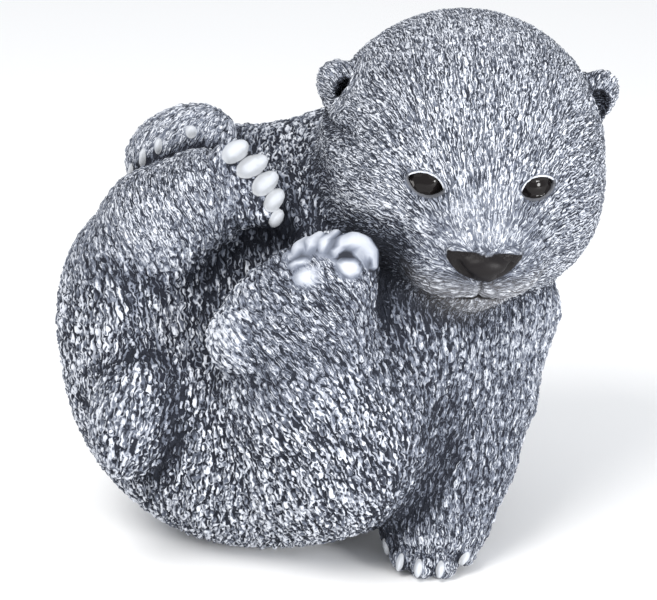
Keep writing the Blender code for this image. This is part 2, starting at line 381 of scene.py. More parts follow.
def resting_leg(body):
    """The other front leg, laid along the chest with its paw over the far hind foot."""
    body.add_limb(10.0, [(-2, 61, -30, 38), (-40, 62, -22, 25), (-66, 72, -4, 19)], 10.0)
    body.add_egg(4.0, (-73, 75, 8), (29, 21, 20), (0, 0, 24))
    for centre, radii, turn in RESTING_CLAWS:
        body.add_egg(0.6, centre, radii, (0, 0, turn))


def height_above_ground(p):
    return GROUND_DROP + p[:, 1] * math.cos(LEAN) + p[:, 2] * math.sin(LEAN)


def block_form(p):
    """The whole statue at a block of points, cut flat where it meets the ground."""
    field = smooth_join(body_form(p), head_form(p), 9.0)
    return smooth_cut(field, height_above_ground(p), 1.0)


def statue_form(p):
    """The whole statue at points, block by block, so that each block skips the masses far from it."""
    side = 32.0 if len(p) > 1e6 else 64.0
    keys = cube_keys(p / side)
    order = np.argsort(keys, kind="stable")
    starts = np.flatnonzero(np.diff(keys[order])) + 1
    values = np.empty(len(p))
    for block in np.split(order, starts):
        values[block] = block_form(p[block])
    return values


def cube_keys(p):
    """A whole number for the unit cube that each point lies in."""
    cubes = np.floor(p).astype(np.int64) + 2048
    return (cubes[:, 0] * 4096 + cubes[:, 1]) * 4096 + cubes[:, 2]


def grid_points(low, steps, spacing):
    """The points of a grid that starts at low and takes so many steps of a spacing each way."""
    axes = [low[i] + np.arange(steps[i]) * spacing for i in range(3)]
    return np.stack(np.meshgrid(*axes, indexing="ij"), -1).reshape(-1, 3)


def skin(cell):
    """The statue's surface as points of the drawing and four-sided faces, one for each cell it crosses."""
    low, high = np.array((-145.0, -150.0, -95.0)), np.array((150.0, 160.0, 125.0))
    coarse = 4 * cell
    steps = np.ceil((high - low) / coarse).astype(int) + 1
    rough = statue_form(grid_points(low, steps, coarse)).reshape(steps)
    crossed = np.abs(rough) < coarse
    for axis in range(3):
        ahead, behind = (np.take(crossed, range(i, steps[axis] - 1 + i), axis) for i in (1, 0))
        crossed = ahead | behind
    blocks = [np.minimum(np.arange(4 * n - 3) // 4, n - 2) for n in steps]
    band = crossed[np.ix_(*blocks)]
    field = rough.astype(np.float32)[np.ix_(*blocks)]
    field[band] = statue_form(low + np.argwhere(band) * cell)
    grid = openvdb.FloatGrid(1e3)
    grid.copyFromArray(field)
    points, quads = grid.convertToQuads(0.0)
    return low + points * cell, quads


def slope(p, step=0.6):
    """Unit normals of the plain form at points on or near it."""
    corners = np.array(((1, 1, 1), (1, -1, -1), (-1, 1, -1), (-1, -1, 1)), float)
    normal = sum(corner * statue_form(p + corner * step)[:, None] for corner in corners)
    return unit(normal)


def unit(v):
    """Vectors brought to length one."""
    return v / np.maximum(np.linalg.norm(v, axis=1), 1e-9)[:, None]


def eased(values, low, high):
    """0 below low, 1 above high, and a soft step between them."""
    t = np.clip((values - low) / (high - low), 0.0, 1.0)
    return t * t * (3.0 - 2.0 * t)


# How the coat lies over the body: a place, how far it holds, the way the hair runs, and how coarse it is.
COMBS = (
    ((-100, 30, 20), 34, (0.45, -1.0, 0.1), 0.35),
    ((-72, 42, 45), 24, (0.65, -1.0, 0.1), 0.15),
    ((-118, -18, 20), 32, (0.15, -1.0, 0.0), 0.80),
    ((-97, -58, 55), 24, (-0.25, -1.0, 0.0), 0.55),
    ((-52, -10, 50), 34, (0.10, -1.0, 0.0), 1.00),
    ((-64, -100, 40), 34, (-0.35, -1.0, 0.0), 0.85),
    ((-14, -110, 50), 34, (0.15, -1.0, 0.0), 0.85),
    ((34, -96, 50), 26, (0.75, -0.8, 0.0), 0.60),
    ((2, -62, 78), 30, (0.55, -0.9, 0.0), 0.75),
    ((-26, -14, 82), 34, (0.85, -0.6, 0.0), 0.20),
    ((38, -20, 50), 26, (0.30, -1.0, 0.0), 0.55),
    ((76, -46, 30), 32, (-0.15, -1.0, 0.0), 0.40),
    ((48, -76, 38), 20, (-0.75, -0.8, 0.0), 0.45),
    ((36, -102, 30), 14, (-0.65, -0.8, 0.0), 0.40),
    ((74, -76, 28), 20, (-0.15, -1.0, 0.0), 0.40),
    ((50, -120, 30), 16, (-0.10, -1.0, 0.2), 0.15),
    ((112, -10, 0), 30, (0.15, -1.0, 0.0), 0.50),
    ((-12, 60, 20), 32, (0.25, -1.0, 0.0), 0.90),
    ((-70, 76, 15), 30, (-0.75, -0.7, 0.2), 0.30),
    ((-20, 0, -70), 90, (-0.20, -1.0, 0.0), 0.60),
)


def combed(p, normal):
    """The way the hair runs at points, how coarse the coat is, and how much of each point is the head's."""
    share = 1.0 / (1.0 + np.exp(np.clip((head_form(p) - body_form(p)) / 3.0, -30, 30)))
    run = np.tile((0.0, -1e-3, 0.0), (len(p), 1))
    coarse = np.full(len(p), 5e-4)
    total = np.full(len(p), 1e-3)
    for place, reach, way, grain in COMBS:
        weight = np.exp(-np.sum((p - np.array(place)) ** 2, axis=1) / reach ** 2)
        run += weight[:, None] * np.array(way)
        coarse += weight * grain
        total += weight
    run = (1.0 - share)[:, None] * unit(run) + share[:, None] * combed_head(p)
    coarse = (1.0 - share) * coarse / total
    run -= normal * np.sum(run * normal, axis=1)[:, None]
    return unit(run), coarse, share


def combed_head(p):
    """The way the hair runs on the head: away from the nose, level on the cheeks, and down behind."""
    q = turned(p, HEAD_CENTRE, HEAD_TURN)
    way = q - (NOSE_CENTRE[0], -12.0, 74.0)
    way[:, 1] *= 1.0 - 0.85 * eased(np.abs(q[:, 0]), 20.0, 58.0)
    behind = eased(-q[:, 2], 0.0, 45.0)[:, None]
    way = unit(way) * (1.0 - behind) + np.array((0.0, -1.0, -0.2)) * behind
    for hollow in EAR_HOLLOWS:
        out = q - np.array(hollow)
        way += 3.0 * np.exp(-np.sum(out ** 2, axis=1) / 15.0 ** 2)[:, None] * unit(out)
    return unit(way) @ np.array(angles(HEAD_TURN).to_matrix()).T


def paws(p):
    """1 on claws, toes and pads, fading to 0 around them."""
    near = np.zeros(len(p))
    for centre, radii, turn in PLANTED_CLAWS + RESTING_CLAWS + NEAR_PADS + FAR_PADS:
        away = egg(p, centre, np.array(radii) + 0.4, (0, 0, turn))
        near = np.maximum(near, 1.0 - eased(away, -0.3, 0.9))
    for fold in TOE_FOLDS:
        near = np.maximum(near, 1.0 - eased(limb(p, fold), 0.0, 1.5))
    return near


def bare(p):
    """1 where the stone carries no hair: claws, toes, pads, nose and eyes."""
    q = turned(p, HEAD_CENTRE, HEAD_TURN)
    smooth = paws(p)
    for side in (-1, 1):
        local = turned(q, (side * EYE_CENTRE[0], *EYE_CENTRE[1:]), eye_turn(side))
        lids = egg(local, (0, 0, 8.0), (ALMOND[0] + 1.0, ALMOND[1] + 0.7, 7.0))
        smooth = np.maximum(smooth, 1.0 - eased(lids, -0.5, 0.9))
    off = np.abs(q[:, 0] - NOSE_CENTRE[0]) / NOSE_HALF
    below = NOSE_LOW + NOSE_RISE * off ** NOSE_SQUARE - q[:, 1]
    above = q[:, 1] - NOSE_TOP - NOSE_SAG * off ** 2 - NOSE_TILT * (q[:, 0] - NOSE_CENTRE[0])
    outside = np.maximum.reduce([below, above, (off - 1.0) * NOSE_HALF, NOSE_FRONT - q[:, 2]])
    return np.maximum(smooth, 1.0 - eased(outside, -0.9, 0.3))


# Where the brush was laid on more, and, below nought, painted shade in hollows, under the eyes and between
# forms: a place, how far it reaches, and by how much.
TONES_AND_SHADE = (
    ((-49, -18, 74), 17, 0.24), ((-84, 28, 50), 24, 0.16), ((-100, -52, 60), 22, 0.08),
    ((104, -18, 10), 30, 0.08), ((-18, 60, 25), 26, -0.12), ((-40, 38, 45), 14, -0.10),
    ((74, 36, 82), 20, 0.08), ((70, 58, 76), 26, 0.04), ((-75, 78, 15), 26, 0.24),
    ((50, 46, 80), 5, -0.10), ((42.5, 42, 77), 6, -0.10), ((93.8, 44, 75), 6, -0.13),
    ((8, 104, 30), 14, 0.20), ((136, 98, 5), 14, 0.20), ((50, -124, 30), 18, 0.18),
    ((-30, -105, 45), 34, 0.10), ((-20, -20, 80), 18, -0.04), ((74, -76, 28), 20, -0.05),
    ((38, -20, 50), 20, -0.04), ((-55, -10, 50), 26, 0.06), ((52, -100, 30), 12, -0.08),
    ((28, 42, 66), 16, 0.18), ((74, 24, 84), 14, 0.09), ((74, 0, 66), 8, 0.06), ((-46, 62, 50), 14, 0.08),
    ((9, 14, 82), 5, 0.06), ((-9, 8, 80), 6, 0.10), ((-55, 48, 50), 12, 0.08), ((17, -79, 76), 20, -0.08),
    ((70, 126, 57), 24, 0.06), ((-38, 66, 58), 8, -0.12), ((-27, 50, 58), 9, -0.12),
)

# Painted shade where two forms meet: a line of (x, y) on the front, its width, and by how much.
SHADED_CREASES = (
    (((-104, -33), (-92, -25), (-80, -27), (-73, -38), (-73, -55), (-76, -72), (-83, -88)), 5.0, 0.26),
    (((-60, -6), (-56, 12), (-38, 24), (-20, 31)), 5.5, 0.18),
    (((-112, 18), (-98, 12), (-77, 5), (-59, 15)), 5.0, 0.18),
    (((26, 26), (28, 5), (26, -14)), 5.0, 0.12),
    (((54, -48), (40, -74), (24, -104)), 3.5, 0.10),
)


def tones_and_shade(p):
    """How much more chalk the brush left at points, less the painted shade in hollows, creases and ear
    hollows.
    """
    total = np.zeros(len(p))
    for place, reach, amount in TONES_AND_SHADE:
        total += amount * np.exp(-np.sum((p - np.array(place)) ** 2, axis=1) / reach ** 2)
    front = eased(p[:, 2], 5.0, 25.0)
    # Painted shade along the creases between forms, on the front only.
    for line, width, amount in SHADED_CREASES:
        total -= amount * front * np.exp(-((distance_to_line(p[:, :2], line) / width) ** 2))
    q = turned(p, HEAD_CENTRE, HEAD_TURN)
    # Painted shade in the ear hollows.
    for hollow in EAR_HOLLOWS:
        total -= 0.40 * np.exp(-np.sum((q - np.array(hollow) + (0, 0, 3.0)) ** 2, axis=1) / 9.0 ** 2)
    return total


def scattered(points, spacing, rng):
    """The numbers of a random choice of points, about one for each cube of a side."""
    order = rng.permutation(len(points))
    keys = cube_keys(points[order] / spacing)
    return order[np.unique(keys, return_index=True)[1]]


def neighbours(points, seeds, reach):
    """Pairs of a point and a seed that lie in the same or in touching cubes of a side."""
    seed_keys = cube_keys(seeds / reach)
    order = np.argsort(seed_keys, kind="stable")
    seed_keys = seed_keys[order]
    for step in grid_points(np.array((-1, -1, -1)), (3, 3, 3), 1):
        wanted = cube_keys(points / reach + step)
        first = np.searchsorted(seed_keys, wanted, "left")
        count = np.searchsorted(seed_keys, wanted, "right") - first
        point = np.repeat(np.arange(len(points)), count)
        nth = np.arange(len(point)) - np.repeat(np.cumsum(count) - count, count)
        yield point, order[np.repeat(first, count) + nth]


# How far a tuft reaches, in halves of its size, and a distance that stands for no tuft near.
TUFT_REACH = 3.0
NONE_NEAR = 9.0


def tufts(points, normals, run, length, width, rng):
    """The height, 0 to 1, of tufts that lie side by side along the coat, with a groove round each. A tuft is
    what lies nearest to its seed, by a distance that is short along the hair, and its tip stands up."""
    chosen = scattered(points, 0.95 * math.sqrt(length * width), rng)
    seeds, facing = points[chosen], normals[chosen]
    sway = rng.normal(0.0, 0.20, len(chosen))[:, None]
    side = np.cross(facing, run[chosen])
    ahead = unit(run[chosen] + side * sway)
    side = np.cross(facing, ahead)
    bend = rng.normal(0.0, 0.25, len(chosen)) / length
    tops = rng.uniform(0.88, 1.0, len(chosen))
    first, second = np.full(len(points), NONE_NEAR), np.full(len(points), NONE_NEAR)
    rise, top = np.zeros(len(points)), np.ones(len(points))
    for point, seed in neighbours(points, seeds, 0.95 * length):
        offset = points[point] - seeds[seed]
        middle = np.einsum("ij,ij->i", offset, ahead[seed])
        across = np.einsum("ij,ij->i", offset, side[seed]) + bend[seed] * middle ** 2
        depth = np.einsum("ij,ij->i", offset, facing[seed])
        along = 2.0 * middle / length
        away = np.sqrt(along ** 2 + (2.0 * across / width) ** 2 + (1.5 * depth / width) ** 2)
        keep = away < TUFT_REACH
        point, seed, along, away = point[keep], seed[keep], along[keep], away[keep]
        keep = np.einsum("ij,ij->i", normals[point], facing[seed]) > 0.2
        point, seed, along, away = point[keep], seed[keep], along[keep], away[keep]
        near, next_near = np.full(len(points), NONE_NEAR), np.full(len(points), NONE_NEAR)
        np.minimum.at(near, point, away)
        wins = away <= near[point]
        np.minimum.at(next_near, point[~wins], away[~wins])
        better = wins & (away < first[point])
        rise[point[better]] = along[better]
        top[point[better]] = tops[seed[better]]
        second = np.minimum(np.minimum(second, next_near), np.maximum(first, near))
        first = np.minimum(first, near)
    dome = 1.0 - 0.25 * np.minimum(first, 1.5) ** 2
    tip = 0.80 + 0.20 * np.clip(rise, -1.0, 1.0)
    height = eased(second - first, -0.05, 0.75) * dome * tip * top
    return np.where(first < NONE_NEAR, height, LEVEL)


class Grain:
    """Smooth noise from a small repeating block of random values."""

    SIDE = 32

    def __init__(self, seed, size):
        self.block = np.random.default_rng(seed).random(self.SIDE ** 3).astype(np.float32)
        self.size = size

    def at(self, p):
        """The noise at points, eased between the values at the corners of the cube round each."""
        p = p / self.size
        base = np.floor(p)
        share = (p - base).astype(np.float32)
        share = share * share * (3.0 - 2.0 * share)
        base = base.astype(np.int32)
        total = np.zeros(len(p), np.float32)
        for i, j, k in np.ndindex(2, 2, 2):
            corner = (base + (i, j, k)) % self.SIDE
            value = self.block[(corner[:, 0] * self.SIDE + corner[:, 1]) * self.SIDE + corner[:, 2]]
            for axis, upper in enumerate((i, j, k)):
                value = value * (share[:, axis] if upper else 1.0 - share[:, axis])
            total += value
        return total


def strands(p, run, size, length, sway, seed, count=9):
    """Strands of hair, 0 to 1: noise drawn out along the coat, as locks that sway a little."""
    bend = np.stack([Grain(seed + i, 4.0 * size).at(p) - 0.5 for i in (1, 2, 3)], 1) * sway
    grain = Grain(seed, size)
    drawn = sum(grain.at(p + bend + run * step) for step in np.linspace(-0.5, 0.5, count) * length)
    drawn = (drawn - drawn.mean()) / drawn.std()
    return eased(drawn, -1.3, 1.3)


def fine_depth(p):
    """How deep the fine hair is cut: less on the muzzle and round the eyes."""
    q = turned(p, HEAD_CENTRE, HEAD_TURN)
    face = eased(np.linalg.norm(q - (0.0, 2.0, MUZZLE_TIP), axis=1), 15.0, 55.0)
    return FINE_DEPTH * (0.5 + 0.5 * face)


def broad_depth(coarse):
    """How deep the broad locks are cut, by how coarse the coat is."""
    return BROAD_DEPTH * coarse * eased(coarse, 0.05, 0.4)


def carved(points, normals):
    """The points with the coat carved in. It is shallower behind, and ends at the ground."""
    rng = np.random.default_rng(SEED)
    run, coarse, _ = combed(points, normals)
    fine = tufts(points, normals, run, *FINE_TUFT, rng)
    fine += 0.40 * (strands(points, run, size=1.1, length=6.0, sway=2.0, seed=11) - 0.5)
    broad = tufts(points, normals, run, *BROAD_TUFT, rng)
    relief = fine_depth(points) * (fine - LEVEL) + broad_depth(coarse) * (broad - LEVEL)
    relief *= (1.0 - bare(points)) * eased(height_above_ground(points), 0.2, 2.5)
    relief *= 1.0 - 0.5 * eased(-points[:, 2], 15.0, 60.0)
    return points + normals * relief[:, None]


def stood_up(points):
    """Points of the drawing as metres: X right, Y back, Z up."""
    x, y, z = points.T
    back = y * math.sin(LEAN) - z * math.cos(LEAN)
    return np.stack([x, back, height_above_ground(points)], 1) * UNIT


def laid_down(metres):
    """The points of the drawing for places in metres."""
    x, back, up = (metres / UNIT).T
    up = up - GROUND_DROP
    y = back * math.sin(LEAN) + up * math.cos(LEAN)
    z = up * math.sin(LEAN) - back * math.cos(LEAN)
    return np.stack([x, y, z], 1)


def new_mesh(name, points, faces):
    """A mesh of points and of faces that all have as many corners."""
    mesh = bpy.data.meshes.new(name)
    mesh.vertices.add(len(points))
    mesh.vertices.foreach_set("co", np.asarray(points, np.float32).ravel())
    sides = faces.shape[1]
    mesh.loops.add(len(faces) * sides)
    mesh.loops.foreach_set("vertex_index", faces.ravel().astype(np.int32))
    mesh.polygons.add(len(faces))
    mesh.polygons.foreach_set("loop_start", np.arange(len(faces), dtype=np.int32) * sides)
    mesh.update(calc_edges=True)
    mesh.validate()
    return mesh


def vertex_points(mesh):
    points = np.zeros(len(mesh.vertices) * 3, np.float32)
    mesh.vertices.foreach_get("co", points)
    return points.reshape(-1, 3).astype(float)


def thinned(piece, triangles):
    """Thins the piece's mesh to a number of triangles."""
    faces = 2 * len(piece.data.polygons)
    thin = piece.modifiers.new("thin", "DECIMATE")
    thin.ratio = triangles / faces
    thin.use_collapse_triangulate = True
    shown = piece.evaluated_get(bpy.context.evaluated_depsgraph_get())
    mesh = bpy.data.meshes.new_from_object(shown)
    piece.modifiers.remove(thin)
    old = piece.data
    piece.data = mesh
    bpy.data.meshes.remove(old)


def face_outwards(mesh):
    """Turns the faces so that they all look out of the stone."""
    faces = bmesh.new()
    faces.from_mesh(mesh)
    bmesh.ops.recalc_face_normals(faces, faces=faces.faces)
    faces.to_mesh(mesh)
    faces.free()


def statue(cad_low, cad_high):
    """The cub, with its coat carved in, in the place of the solid. Also how far its drawing was shifted."""
    points, quads = skin(CELL)
    plain = stood_up(points)
    drawn_middle = (plain.min(0) + plain.max(0)) / 2
    shift = (drawn_middle - (np.array(cad_low) + np.array(cad_high)) / 2) * (1, 1, 0)
    placed = stood_up(carved(points, slope(points))) - shift
    placed[:, 2] = np.maximum(placed[:, 2], 0.0)
    mesh = new_mesh("carved_cub", placed, quads)
    face_outwards(mesh)
    piece = bpy.data.objects.new("carved_cub", mesh)
    bpy.context.scene.collection.objects.link(piece)
    thinned(piece, TRIANGLES)
    piece.data.name = "carved_cub"
    piece.data.shade_smooth()
    describe(piece.data, shift)
    return piece, shift


# The height that bare stone is painted for, and how far out other stone shades it, with each reach's weight.
# That shade is painted into the colour, darkening the crevices.
BARE_HEIGHT = 0.6
SHADE_REACHES = ((2.5, 0.25), (6.0, 0.25), (14.0, 0.5))


def describe(mesh, shift):
    """Stores on each vertex what the paint needs to know of the carving."""
    points = laid_down(vertex_points(mesh) + shift)
    normals = slope(points)
    run, coarse, share = combed(points, normals)
    smooth = bare(points)
    raised = statue_form(points)
    deep = fine_depth(points) + broad_depth(coarse)
    height = np.clip(raised / deep + LEVEL, 0.0, 1.0) * (1.0 - smooth) + smooth * BARE_HEIGHT
    # How closely other stone surrounds each point, for the painted shade in crevices.
    shade = np.zeros(len(points))
    for reach, weight in SHADE_REACHES:
        open_air = statue_form(points + normals * reach) / reach
        shade += weight * (1.0 - np.clip(open_air, 0.0, 1.0))
    upright = np.array(Euler((STAND, 0, 0)).to_matrix())
    store(mesh, "coat_run", run @ upright.T)
    store(mesh, "coat_height", height)
    store(mesh, "coat_coarse", coarse)
    store(mesh, "crevice_slate_and_shade", shade)
    store(mesh, "smooth_stone", smooth)
    store(mesh, "paws", paws(points))
    store(mesh, "tone", tones_and_shade(points))
    store(mesh, "head_share", share)


def store(mesh, name, values):
    """Stores a number or a vector on each vertex."""
    kind = "FLOAT_VECTOR" if values.ndim == 2 else "FLOAT"
    attribute = mesh.attributes.new(name, kind, "POINT")
    attribute.data.foreach_set("vector" if values.ndim == 2 else "value", values.astype(np.float32).ravel())


class Paint:
    """Adds the nodes of one material. A value is a node's socket or a plain number."""

    def __init__(self, tree):
        self.tree = tree

    def node(self, kind, **settings):
        new = self.tree.nodes.new(kind)
        for name, value in settings.items():
            setattr(new, name, value)
        return new

    def feed(self, sockets, values):
        """Links or sets each socket to its value."""
        for socket, value in zip(sockets, values):
            if isinstance(value, bpy.types.NodeSocket):
                self.tree.links.new(value, socket)
            else:
                socket.default_value = value

    def math(self, operation, *values):
        new = self.node("ShaderNodeMath", operation=operation)
        self.feed(new.inputs, values)
        return new.outputs[0]

    def vector(self, operation, *values):
        new = self.node("ShaderNodeVectorMath", operation=operation)
        self.feed(new.inputs, values)
        return new.outputs[0]

    def stretch(self, vector, factor):
        new = self.node("ShaderNodeVectorMath", operation="SCALE")
        self.feed((new.inputs[0], new.inputs["Scale"]), (vector, factor))
        return new.outputs[0]

    def length(self, vector):
        new = self.node("ShaderNodeVectorMath", operation="LENGTH")
        self.feed(new.inputs, (vector,))
        return new.outputs["Value"]

    def times(self, *values):
        """The product of two or more values."""
        total = values[0]
        for value in values[1:]:
            total = self.math("MULTIPLY", total, value)
        return total

    def plus(self, total, value, share):
        """A total with a share of a value added."""
        return self.math("MULTIPLY_ADD", value, share, total)

    def lesser(self, a, b):
        """The lesser of two values, eased where they are alike."""
        return self.math("SMOOTH_MIN", a, b, 1.2)

    def rise(self, value, low, high):
        """0 below low, 1 above high, and a soft step between them."""
        new = self.node("ShaderNodeMapRange", interpolation_type="SMOOTHSTEP")
        self.feed([new.inputs[name] for name in ("Value", "From Min", "From Max")], (value, low, high))
        return new.outputs[0]

    def fall(self, value, low, high):
        """1 below low, 0 above high, and a soft step between them."""
        return self.math("SUBTRACT", 1.0, self.rise(value, low, high))

    def mix(self, share, a, b):
        """A colour between two colours."""
        new = self.node("ShaderNodeMix", data_type="RGBA")
        self.feed((new.inputs[0], new.inputs[6], new.inputs[7]), (share, a, b))
        return new.outputs[2]

    def blend(self, share, a, b):
        """A number between two numbers."""
        new = self.node("ShaderNodeMix", data_type="FLOAT")
        self.feed((new.inputs[0], new.inputs[2], new.inputs[3]), (share, a, b))
        return new.outputs[0]

    def attribute(self, name, output="Fac"):
        return self.node("ShaderNodeAttribute", attribute_name=name).outputs[output]

    def noise(self, place, size, detail=0.0, output=0):
        new = self.node("ShaderNodeTexNoise")
        names = ("Vector", "Scale", "Detail")
        self.feed([new.inputs[name] for name in names], (place, 1.0 / size, detail))
        return new.outputs[output]

    def streaks(self, place, run, size, length):
        """Noise drawn out along the coat, as hairs: the mean of several samples along its run."""
        total = 0.0
        for i in range(STREAK_SAMPLES):
            step = (i / (STREAK_SAMPLES - 1) - 0.5) * length
            value = self.noise(self.vector("ADD", place, self.stretch(run, step)), size)
            total = self.math("ADD", total, value)
        return self.math("DIVIDE", total, float(STREAK_SAMPLES))

    def seen_from(self, spot, place, turn, scale=(1.0, 1.0, 1.0)):
        """A point as seen from a place whose axes are turned and scaled."""
        new = self.node("ShaderNodeMapping", vector_type="TEXTURE")
        self.feed(new.inputs, (spot, place, turn, scale))
        return new.outputs[0]

    def parts(self, vector):
        new = self.node("ShaderNodeSeparateXYZ")
        self.feed(new.inputs, (vector,))
        return new.outputs


SLATE = (0.0110, 0.0140, 0.0240, 1.0)
GREY = (0.150, 0.170, 0.220, 1.0)
CHALK = (0.700, 0.730, 0.795, 1.0)
CREAM = (0.600, 0.560, 0.510, 1.0)
CLAW = (0.520, 0.540, 0.570, 1.0)
# The dark of the painted shade on the rim round each eye.
EYE_RIM_SHADE = (0.120, 0.125, 0.140, 1.0)
EYE_BLACK = (0.0060, 0.0045, 0.0045, 1.0)
NOSE_BROWN = (0.0085, 0.0070, 0.0076, 1.0)

# How white the brush leaves each place: a start, and what each thing adds or takes. A pair is for the fine
# and the coarse coat, or, for the crevices' slate and painted shade, for the coat and the paws.
BRUSH_START = 0.09
BRUSH_HEIGHT = (0.30, 0.54)
BRUSH_HAIRS = (0.54, 0.60)
BRUSH_CREVICE_AND_SHADE = (-0.72, -2.00)
BRUSH_MOTTLE = 0.25
BRUSH_HEAD = 0.10
BRUSH_FACE = 0.10
BRUSH_PAWS = 0.40

# How white is still slate, then grey, then chalk.
SLATE_TO_GREY = (0.18, 0.55)
GREY_TO_CHALK = (0.45, 0.95)

# Hairs of the fine and of the coarse coat: how thick and long they are, and how far they curl.
STREAK_SAMPLES = 9
THIN_HAIRS = (0.68, 4.6)
THIN_CURL = 1.6
THICK_HAIRS = (1.35, 8.0)
THICK_CURL = 2.6


class Coat:
    """What the paint reads of the carving, with the hairs and the mottling that it adds."""

    def __init__(self, paint, spot):
        self.place = paint.stretch(spot, 1.0 / UNIT)
        self.height = paint.attribute("coat_height")
        self.coarse = paint.attribute("coat_coarse")
        self.crevice_slate_and_shade = paint.attribute("crevice_slate_and_shade")
        self.smooth = paint.attribute("smooth_stone")
        self.paw = paint.attribute("paws")
        self.head = paint.attribute("head_share")
        self.tone = paint.attribute("tone")
        self.furry = paint.math("SUBTRACT", 1.0, self.smooth)
        self.mottle = paint.noise(self.place, 14.0, 3.0)
        self.hairs = self.strokes(paint)

    def strokes(self, paint):
        """Hairs, 0 to 1, thin on the fine coat and thick on the coarse coat."""
        run = paint.attribute("coat_run", "Vector")
        wobble = paint.vector("SUBTRACT", paint.noise(self.place, 3.0, output=1), (0.5, 0.5, 0.5))
        swayed = paint.vector("ADD", self.place, paint.stretch(wobble, THIN_CURL))
        curled = paint.vector("ADD", self.place, paint.stretch(wobble, THICK_CURL))
        thin = paint.rise(paint.streaks(swayed, run, *THIN_HAIRS), 0.44, 0.56)
        thick = paint.rise(paint.streaks(curled, run, *THICK_HAIRS), 0.45, 0.55)
        return paint.blend(paint.rise(self.coarse, 0.15, 0.75), thin, thick)


def brushwork(paint, coat, marks):
    """How white the dry brush leaves the stone: most on the tops of the tufts and on single hairs. Crevices
    and creases are darkened as painted shade.
    """
    calmed = paint.blend(marks.calm, 1.0, 0.55)
    weight = paint.times(paint.blend(coat.coarse, *BRUSH_HAIRS), coat.furry, calmed)
    white = paint.plus(BRUSH_START, coat.height, paint.blend(coat.coarse, *BRUSH_HEIGHT))
    white = paint.plus(white, coat.hairs, weight)
    white = paint.plus(white, paint.math("SUBTRACT", coat.mottle, 0.5), BRUSH_MOTTLE)
    # Crevices: slate the dry brush misses, darkened further as painted shade.
    white = paint.plus(white, coat.crevice_slate_and_shade, paint.blend(coat.paw, *BRUSH_CREVICE_AND_SHADE))
    white = paint.plus(white, coat.head, BRUSH_HEAD)
    white = paint.plus(white, marks.calm, BRUSH_FACE)
    white = paint.plus(white, coat.paw, BRUSH_PAWS)
    # More chalk where the brush was laid on more, and painted shade in hollows and creases.
    return paint.math("ADD", white, coat.tone)


def colours(paint, coat, marks, claws):
    """Slate, grey and chalk by the brushwork, with claws, muzzle, eyes, nose and lips painted over it, and
    painted shade round the eyes.
    """
    white = brushwork(paint, coat, marks)
    colour = paint.mix(paint.rise(white, *SLATE_TO_GREY), SLATE, GREY)
    colour = paint.mix(paint.rise(white, *GREY_TO_CHALK), colour, CHALK)
    colour = paint.mix(paint.times(claws, paint.blend(coat.mottle, 0.55, 0.95)), colour, CLAW)
    colour = paint.mix(paint.times(marks.muzzle, coat.head, 0.16), colour, CREAM)
    # Painted shade on the rim round each eye; the lid's chalk then covers its upper edge.
    colour = paint.mix(paint.times(marks.rim, 0.70), colour, EYE_RIM_SHADE)
    for mark, shade in ((marks.lid, CHALK), (marks.eye, EYE_BLACK), (marks.nose, NOSE_BROWN),
                        (marks.lips, NOSE_BROWN)):
        colour = paint.mix(mark, colour, shade)
    return colour


def roughness(paint, coat, marks):
    """Dull stone, a little smoother where the brush left paint, with a satin nose and gloss eyes."""
    rough = paint.blend(coat.hairs, 0.90, 0.76)
    for mark, value in ((coat.smooth, 0.66), (marks.nose, 0.45), (marks.eye, 0.09)):
        rough = paint.blend(mark, rough, value)
    return rough


def bumps(paint, coat, marks):
    """The hairs and the stone's fine grain as a shallow bump."""
    grain = paint.noise(coat.place, 0.7, 2.0)
    relief = paint.plus(paint.times(coat.hairs, coat.furry, 0.80), grain, paint.blend(marks.eye, 0.10, 0.0))
    bump = paint.node("ShaderNodeBump")
    names = ("Strength", "Distance", "Height")
    paint.feed([bump.inputs[name] for name in names], (1.0, UNIT, relief))
    return bump.outputs[0]


def painted_stone(shift):
    """Cast stone painted slate blue and dry-brushed with chalk white, with painted eyes and nose."""
    material = bpy.data.materials.new("painted_stone")
    material.use_nodes = True
    shader = material.node_tree.nodes["Principled BSDF"]
    paint = Paint(material.node_tree)
    spot = paint.node("ShaderNodeTexCoord").outputs["Object"]
    coat = Coat(paint, spot)
    marks = FaceMarks(paint, spot, shift)
    claws = claw_marks(paint, spot, shift)
    looks = {
        "Base Color": colours(paint, coat, marks, claws),
        "Roughness": roughness(paint, coat, marks),
        "Normal": bumps(paint, coat, marks),
        "Specular IOR Level": paint.blend(marks.eye, paint.blend(marks.nose, 0.4, 0.20), 0.22),
    }
    paint.feed([shader.inputs[name] for name in looks], looks.values())
    return material


def claw_marks(paint, spot, shift):
    """1 on the claws and on the far foot's pads, with a crisp edge."""
    origin = stood_up(np.zeros((1, 3)))[0] - shift
    drawn = paint.seen_from(spot, origin, (STAND, 0.0, 0.0), (UNIT,) * 3)
    nearest = None
    for centre, radii, turn in PLANTED_CLAWS + RESTING_CLAWS + FAR_PADS:
        away = paint.length(paint.seen_from(drawn, centre, (0.0, 0.0, math.radians(turn)), radii))
        nearest = away if nearest is None else paint.math("MINIMUM", nearest, away)
    return paint.fall(nearest, 1.06, 1.16)


